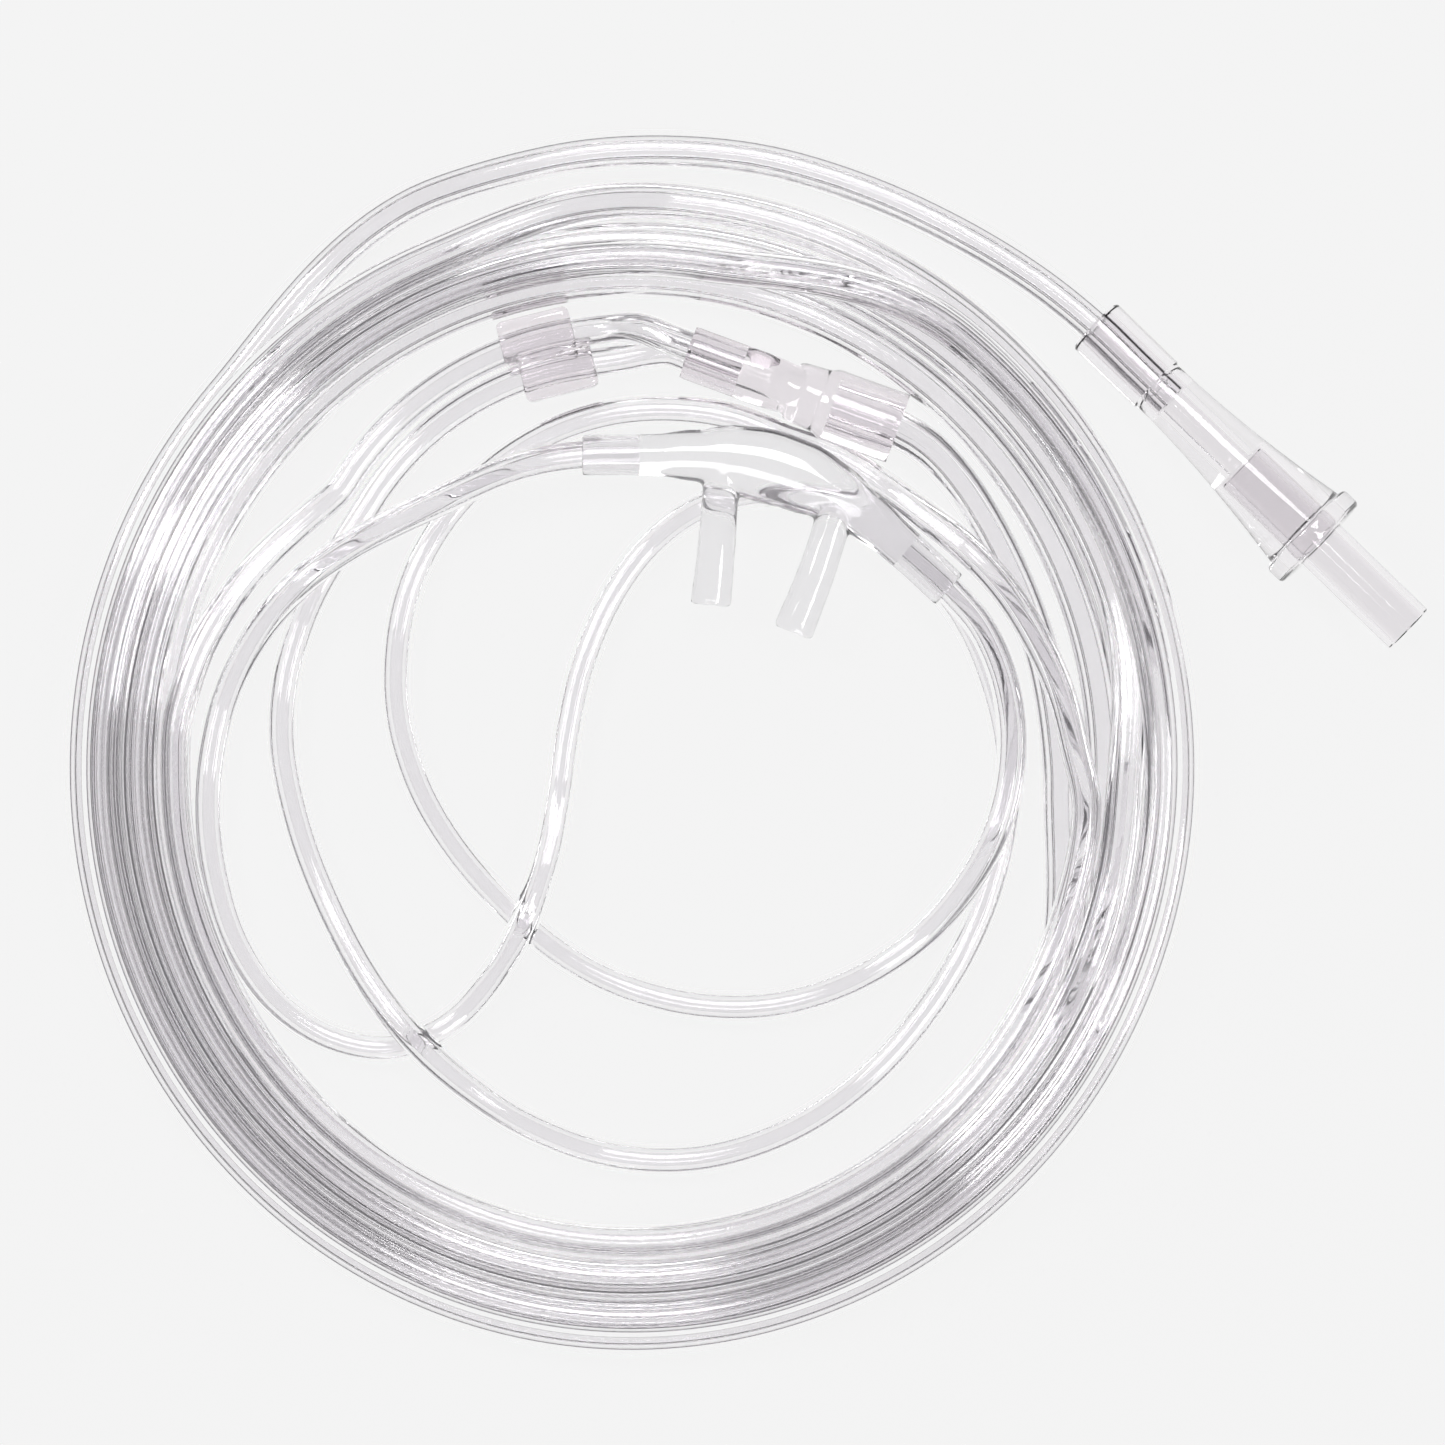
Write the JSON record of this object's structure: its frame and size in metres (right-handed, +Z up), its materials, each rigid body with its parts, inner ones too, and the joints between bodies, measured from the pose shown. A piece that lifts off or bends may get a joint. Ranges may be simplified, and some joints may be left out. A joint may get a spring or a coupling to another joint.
{
  "type": "nasal oxygen cannula",
  "caption": "Clear vinyl nasal cannula: two-prong nosepiece, lariat tubes with slider, Y connector, coiled supply tube and funnel end connector.",
  "frame": {"origin": "under the middle of the moulded fittings (nosepiece, slider, Y connector and end connector), on the surface the set lies on", "axes": "+Z up from the surface, +X along the long side of the box round the fittings, from the slider towards the outlet nipple, +Y from the prong tips towards the slider"},
  "size_m": [0.1743, 0.1571, 0.0143],
  "materials": {
    "soft_clear_vinyl": "gloss",
    "clear_tubing": "gloss",
    "clear_fitting": "gloss"
  },
  "bodies": {
    "cannula": {"nosepiece": "soft_clear_vinyl", "y_connector": "clear_fitting", "end_connector": "clear_fitting", "outlet_nipple": "clear_fitting", "left_lariat_tube": "clear_tubing", "right_lariat_tube": "clear_tubing", "supply_tube_lead": "clear_tubing", "supply_coil": "clear_tubing", "supply_tube_tail": "clear_tubing"},
    "slider": {"slider": "clear_fitting"}
  },
  "joints": [
    {"name": "slider_travel", "type": "hinge", "parent": "cannula", "child": "slider", "pos_m": [-0.04319, -0.02329, 0], "axis": [0, 0, 1], "range_deg": [0, 36]}
  ]
}
